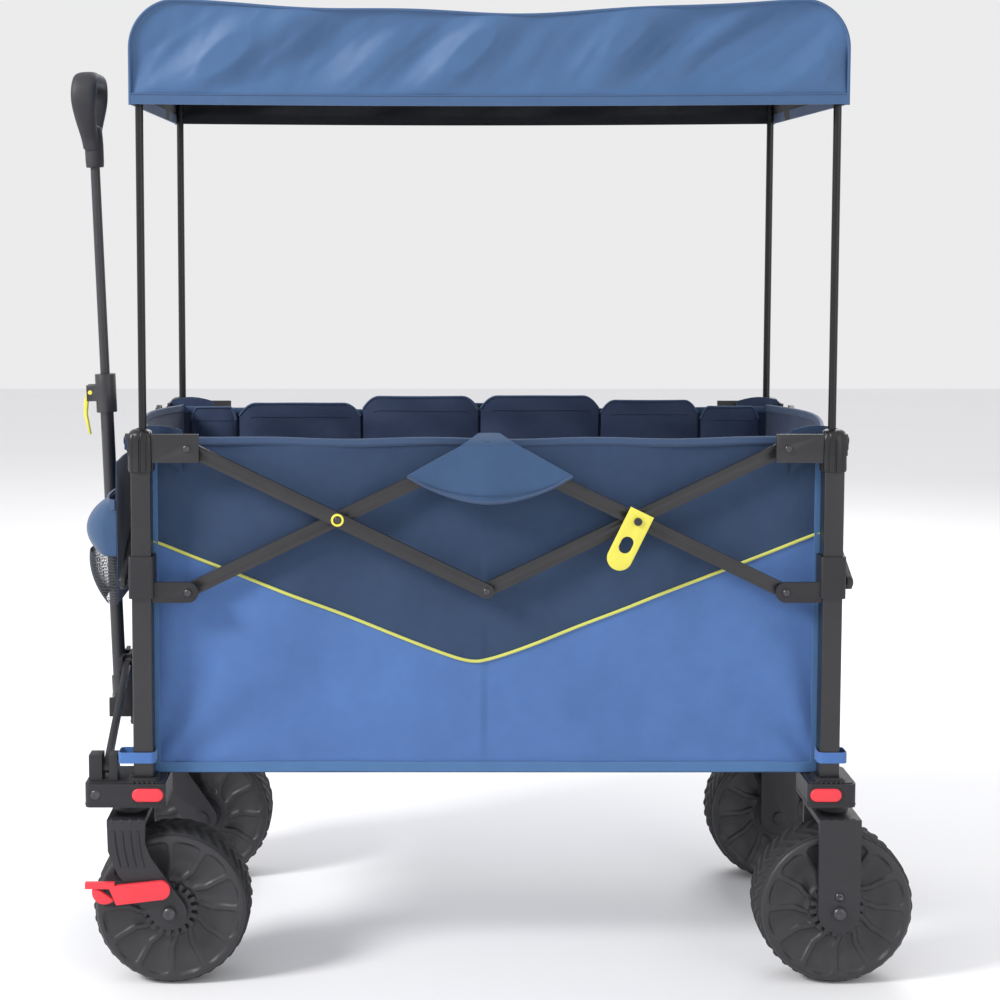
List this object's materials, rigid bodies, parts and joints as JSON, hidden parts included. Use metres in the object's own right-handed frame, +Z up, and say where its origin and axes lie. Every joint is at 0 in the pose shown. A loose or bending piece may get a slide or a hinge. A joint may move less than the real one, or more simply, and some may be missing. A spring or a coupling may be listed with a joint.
{
  "type": "folding pull wagon",
  "caption": "Folding kids pull wagon: scissor frame, fabric basket, swivel casters, telescoping pull handle and a canopy on corner poles.",
  "frame": {"origin": "on the ground under the middle of the wagon", "axes": "+X towards the rear, +Y towards the far side, +Z up"},
  "size_m": [1.0919, 0.505, 1.244],
  "materials": {
    "frame_steel": "satin",
    "moulding": "matte",
    "fork_plastic": "matte",
    "wheel_plastic": "matte",
    "tread": "matte",
    "pole": "gloss",
    "red_plastic": "satin",
    "lime_plastic": "satin",
    "grip": "matte",
    "handle_metal": "satin",
    "canopy_fabric": "woven",
    "basket_fabric": "woven",
    "navy_fabric": "woven",
    "binding": "woven tape",
    "lime_piping": "woven",
    "mesh": "net",
    "rivet": "bright"
  },
  "bodies": {
    "front_near_corner": {"post_front_near": "frame_steel", "base_front_near": "moulding", "pole_front_near": "pole", "basket_near": "basket_fabric", "basket_front": "basket_fabric", "front_pockets": "navy_fabric", "canopy_side_near": "canopy_fabric"},
    "front_far_corner": {"post_front_far": "frame_steel", "base_front_far": "moulding", "pole_front_far": "pole", "basket_far": "basket_fabric", "canopy_side_far": "canopy_fabric"},
    "rear_near_corner": {"post_rear_near": "frame_steel", "base_rear_near": "moulding", "fork_rear_near": "fork_plastic", "pole_rear_near": "pole", "basket_rear": "basket_fabric"},
    "rear_far_corner": {"post_rear_far": "frame_steel", "base_rear_far": "moulding", "fork_rear_far": "fork_plastic", "pole_rear_far": "pole"},
    "near_bar_1": {"side_bar_near_1": "frame_steel"},
    "near_bar_2": {"side_bar_near_2": "frame_steel"},
    "near_bar_3": {"side_bar_near_3": "frame_steel"},
    "near_bar_4": {"side_bar_near_4": "frame_steel"},
    "far_bar_1": {"side_bar_far_1": "frame_steel"},
    "far_bar_2": {"side_bar_far_2": "frame_steel"},
    "far_bar_3": {"side_bar_far_3": "frame_steel"},
    "far_bar_4": {"side_bar_far_4": "frame_steel"},
    "front_bar_1": {"end_bar_front_1": "frame_steel"},
    "front_bar_2": {"end_bar_front_2": "frame_steel"},
    "rear_bar_1": {"end_bar_rear_1": "frame_steel"},
    "rear_bar_2": {"end_bar_rear_2": "frame_steel"},
    "front_near_slider": {"slider_front_near": "moulding"},
    "front_near_wheel": {"wheel_front_near": "wheel_plastic"},
    "front_near_button": {"button_front_near": "red_plastic"},
    "front_far_slider": {"slider_front_far": "moulding"},
    "front_far_wheel": {"wheel_front_far": "wheel_plastic"},
    "front_far_button": {"button_front_far": "red_plastic"},
    "rear_near_slider": {"slider_rear_near": "moulding"},
    "rear_near_wheel": {"wheel_rear_near": "wheel_plastic"},
    "rear_near_button": {"button_rear_near": "red_plastic"},
    "rear_far_slider": {"slider_rear_far": "moulding"},
    "rear_far_wheel": {"wheel_rear_far": "wheel_plastic"},
    "rear_far_button": {"button_rear_far": "red_plastic"},
    "near_caster": {"fork_front_near": "fork_plastic"},
    "near_brake": {"brake_lever_near": "red_plastic"},
    "near_floor": {"floor_near": "navy_fabric"},
    "near_canopy_top": {"canopy_top_near": "canopy_fabric"},
    "near_handle_arm": {"handle_arm_near": "handle_metal"},
    "far_caster": {"fork_front_far": "fork_plastic"},
    "far_brake": {"brake_lever_far": "red_plastic"},
    "far_floor": {"floor_far": "navy_fabric"},
    "far_canopy_top": {"canopy_top_far": "canopy_fabric"},
    "far_handle_arm": {"handle_arm_far": "handle_metal"},
    "yoke": {"handle_yoke": "handle_metal"},
    "handle": {"handle_tube": "handle_metal"},
    "extension": {"handle_extension": "handle_metal"},
    "clamp": {"clamp_lever": "lime_plastic"},
    "lock_tab": {"fold_lock_tab": "lime_plastic"}
  },
  "joints": [
    {"name": "fold", "type": "hinge", "parent": "front_near_corner", "child": "near_bar_1", "pos_m": [-0.376, -0.217, 0.689], "axis": [0, 1, 0], "range_deg": [0, 49], "deforming": ["basket_near", "canopy_side_near", "basket_front", "front_pockets"]},
    {"name": "near_bar_2_turn", "type": "hinge", "parent": "near_bar_1", "child": "near_bar_2", "pos_m": [-0.188, -0.217, 0.598], "axis": [0, 1, 0], "range_deg": [-98.01, 0]},
    {"name": "near_bar_4_turn", "type": "hinge", "parent": "near_bar_1", "child": "near_bar_4", "pos_m": [0, -0.217, 0.507], "axis": [0, 1, 0], "range_deg": [-98.01, 0]},
    {"name": "near_bar_3_turn", "type": "hinge", "parent": "near_bar_4", "child": "near_bar_3", "pos_m": [0.188, -0.217, 0.598], "axis": [0, 1, 0], "range_deg": [0, 98.01]},
    {"name": "near_rear_post_turn", "type": "hinge", "parent": "near_bar_4", "child": "rear_near_corner", "pos_m": [0.376, -0.217, 0.689], "axis": [0, 1, 0], "range_deg": [0, 49.01], "deforming": ["basket_rear"]},
    {"name": "rear_near_slider_turn", "type": "hinge", "parent": "near_bar_3", "child": "rear_near_slider", "pos_m": [0.376, -0.217, 0.507], "axis": [0, 1, 0], "range_deg": [-49.01, 0]},
    {"name": "front_near_slider_turn", "type": "hinge", "parent": "near_bar_2", "child": "front_near_slider", "pos_m": [-0.376, -0.217, 0.507], "axis": [0, 1, 0], "range_deg": [0, 49.01]},
    {"name": "front_bar_1_turn", "type": "hinge", "parent": "front_near_corner", "child": "front_bar_1", "pos_m": [-0.4545, -0.188, 0.695], "axis": [1, 0, 0], "range_deg": [-49.01, 0]},
    {"name": "front_bar_2_turn", "type": "hinge", "parent": "front_bar_1", "child": "front_bar_2", "pos_m": [-0.4545, 0, 0.604], "axis": [1, 0, 0], "range_deg": [0, 98.01]},
    {"name": "far_front_post_turn", "type": "hinge", "parent": "front_bar_2", "child": "front_far_corner", "pos_m": [-0.4545, 0.188, 0.695], "axis": [1, 0, 0], "range_deg": [-49.01, 0], "deforming": ["basket_far", "canopy_side_far"]},
    {"name": "front_far_slider_turn", "type": "hinge", "parent": "front_bar_1", "child": "front_far_slider", "pos_m": [-0.4545, 0.188, 0.513], "axis": [1, 0, 0], "range_deg": [0, 49.01]},
    {"name": "far_bar_1_turn", "type": "hinge", "parent": "front_far_corner", "child": "far_bar_1", "pos_m": [-0.376, 0.217, 0.689], "axis": [0, 1, 0], "range_deg": [0, 49.01]},
    {"name": "far_bar_2_turn", "type": "hinge", "parent": "far_bar_1", "child": "far_bar_2", "pos_m": [-0.188, 0.217, 0.598], "axis": [0, 1, 0], "range_deg": [-98.01, 0]},
    {"name": "far_bar_4_turn", "type": "hinge", "parent": "far_bar_1", "child": "far_bar_4", "pos_m": [0, 0.217, 0.507], "axis": [0, 1, 0], "range_deg": [-98.01, 0]},
    {"name": "far_bar_3_turn", "type": "hinge", "parent": "far_bar_4", "child": "far_bar_3", "pos_m": [0.188, 0.217, 0.598], "axis": [0, 1, 0], "range_deg": [0, 98.01]},
    {"name": "far_rear_post_turn", "type": "hinge", "parent": "far_bar_4", "child": "rear_far_corner", "pos_m": [0.376, 0.217, 0.689], "axis": [0, 1, 0], "range_deg": [0, 49.01]},
    {"name": "rear_far_slider_turn", "type": "hinge", "parent": "far_bar_3", "child": "rear_far_slider", "pos_m": [0.376, 0.217, 0.507], "axis": [0, 1, 0], "range_deg": [-49.01, 0]},
    {"name": "rear_bar_1_turn", "type": "hinge", "parent": "rear_near_corner", "child": "rear_bar_1", "pos_m": [0.4545, -0.188, 0.695], "axis": [1, 0, 0], "range_deg": [-49.01, 0]},
    {"name": "rear_bar_2_turn", "type": "hinge", "parent": "rear_bar_1", "child": "rear_bar_2", "pos_m": [0.4545, 0, 0.604], "axis": [1, 0, 0], "range_deg": [0, 98.01]},
    {"name": "near_arm_turn", "type": "hinge", "parent": "front_near_corner", "child": "near_handle_arm", "pos_m": [-0.482, -0.217, 0.28], "axis": [1, 0, 0], "range_deg": [0, 49.01]},
    {"name": "yoke_turn", "type": "hinge", "parent": "near_handle_arm", "child": "yoke", "pos_m": [-0.482, -0.029, 0.371], "axis": [1, 0, 0], "range_deg": [-49.01, 0]},
    {"name": "far_arm_turn", "type": "hinge", "parent": "yoke", "child": "far_handle_arm", "pos_m": [-0.482, 0.029, 0.371], "axis": [1, 0, 0], "range_deg": [-49.01, 0]},
    {"name": "near_floor_turn", "type": "hinge", "parent": "front_near_corner", "child": "near_floor", "pos_m": [0, -0.199, 0.269], "axis": [1, 0, 0], "range_deg": [0, 70.75], "deforming": ["floor_near"]},
    {"name": "far_floor_turn", "type": "hinge", "parent": "front_far_corner", "child": "far_floor", "pos_m": [0, 0.199, 0.269], "axis": [1, 0, 0], "range_deg": [-70.75, 0], "deforming": ["floor_far"]},
    {"name": "near_canopy_turn", "type": "hinge", "parent": "front_near_corner", "child": "near_canopy_top", "pos_m": [0, -0.205, 1.241], "axis": [1, 0, 0], "range_deg": [-69.55, 0], "deforming": ["canopy_top_near"]},
    {"name": "far_canopy_turn", "type": "hinge", "parent": "front_far_corner", "child": "far_canopy_top", "pos_m": [0, 0.205, 1.241], "axis": [1, 0, 0], "range_deg": [0, 69.55], "deforming": ["canopy_top_far"]},
    {"name": "near_caster_swivel", "type": "hinge", "parent": "front_near_corner", "child": "near_caster", "pos_m": [-0.455, -0.1935, 0.212], "axis": [0, 0, 1], "continuous": true},
    {"name": "front_near_wheel_spin", "type": "hinge", "parent": "near_caster", "child": "front_near_wheel", "pos_m": [-0.401, -0.1935, 0.1], "axis": [0, 1, 0], "continuous": true},
    {"name": "rear_near_wheel_spin", "type": "hinge", "parent": "rear_near_corner", "child": "rear_near_wheel", "pos_m": [0.446, -0.1935, 0.1], "axis": [0, 1, 0], "continuous": true},
    {"name": "near_brake_press", "type": "hinge", "parent": "near_caster", "child": "near_brake", "pos_m": [-0.411, -0.1935, 0.132], "axis": [0, -1, 0], "range_deg": [0, 20]},
    {"name": "front_near_button_press", "type": "slide", "parent": "front_near_corner", "child": "front_near_button", "axis": [0, 1, 0], "range_m": [0, 0.003], "stiffness_N_per_m": 600},
    {"name": "rear_near_button_press", "type": "slide", "parent": "rear_near_corner", "child": "rear_near_button", "axis": [0, 1, 0], "range_m": [0, 0.003], "stiffness_N_per_m": 600},
    {"name": "far_caster_swivel", "type": "hinge", "parent": "front_far_corner", "child": "far_caster", "pos_m": [-0.455, 0.1935, 0.212], "axis": [0, 0, -1], "continuous": true},
    {"name": "front_far_wheel_spin", "type": "hinge", "parent": "far_caster", "child": "front_far_wheel", "pos_m": [-0.401, 0.1935, 0.1], "axis": [0, 1, 0], "continuous": true},
    {"name": "rear_far_wheel_spin", "type": "hinge", "parent": "rear_far_corner", "child": "rear_far_wheel", "pos_m": [0.446, 0.1935, 0.1], "axis": [0, 1, 0], "continuous": true},
    {"name": "far_brake_press", "type": "hinge", "parent": "far_caster", "child": "far_brake", "pos_m": [-0.411, 0.1935, 0.132], "axis": [0, -1, 0], "range_deg": [0, 20]},
    {"name": "front_far_button_press", "type": "slide", "parent": "front_far_corner", "child": "front_far_button", "axis": [0, -1, 0], "range_m": [0, 0.003], "stiffness_N_per_m": 600},
    {"name": "rear_far_button_press", "type": "slide", "parent": "rear_far_corner", "child": "rear_far_button", "axis": [0, -1, 0], "range_m": [0, 0.003], "stiffness_N_per_m": 600},
    {"name": "handle_swing", "type": "hinge", "parent": "yoke", "child": "handle", "pos_m": [-0.4956, 0, 0.305], "axis": [0, -1, 0], "range_deg": [0, 90]},
    {"name": "handle_slide", "type": "slide", "parent": "handle", "child": "extension", "axis": [-0.0361, 0, 0.9993], "range_m": [-0.25, 0]},
    {"name": "clamp_open", "type": "hinge", "parent": "handle", "child": "clamp", "pos_m": [-0.53134, 0, 0.73999], "axis": [0, 1, 0], "range_deg": [0, 100]},
    {"name": "lock_tab_turn", "type": "hinge", "parent": "near_bar_3", "child": "lock_tab", "pos_m": [0.188, -0.237, 0.598], "axis": [0, 1, 0], "range_deg": [-40, 30]}
  ],
  "couplings": [
    {"joint": "near_bar_2_turn", "follows": "fold", "ratio": -2},
    {"joint": "near_bar_4_turn", "follows": "fold", "ratio": -2},
    {"joint": "near_bar_3_turn", "follows": "fold", "ratio": 2},
    {"joint": "near_rear_post_turn", "follows": "fold", "ratio": 1},
    {"joint": "rear_near_slider_turn", "follows": "fold", "ratio": -1},
    {"joint": "front_near_slider_turn", "follows": "fold", "ratio": 1},
    {"joint": "front_bar_1_turn", "follows": "fold", "ratio": -1},
    {"joint": "front_bar_2_turn", "follows": "fold", "ratio": 2},
    {"joint": "far_front_post_turn", "follows": "fold", "ratio": -1},
    {"joint": "front_far_slider_turn", "follows": "fold", "ratio": 1},
    {"joint": "far_bar_1_turn", "follows": "fold", "ratio": 1},
    {"joint": "far_bar_2_turn", "follows": "fold", "ratio": -2},
    {"joint": "far_bar_4_turn", "follows": "fold", "ratio": -2},
    {"joint": "far_bar_3_turn", "follows": "fold", "ratio": 2},
    {"joint": "far_rear_post_turn", "follows": "fold", "ratio": 1},
    {"joint": "rear_far_slider_turn", "follows": "fold", "ratio": -1},
    {"joint": "rear_bar_1_turn", "follows": "fold", "ratio": -1},
    {"joint": "rear_bar_2_turn", "follows": "fold", "ratio": 2},
    {"joint": "near_arm_turn", "follows": "fold", "ratio": 1},
    {"joint": "yoke_turn", "follows": "fold", "ratio": -1},
    {"joint": "far_arm_turn", "follows": "fold", "ratio": -1},
    {"joint": "near_floor_turn", "follows": "fold", "ratio": 1.4436},
    {"joint": "far_floor_turn", "follows": "fold", "ratio": -1.4436},
    {"joint": "near_canopy_turn", "follows": "fold", "ratio": -1.4192},
    {"joint": "far_canopy_turn", "follows": "fold", "ratio": 1.4192}
  ]
}
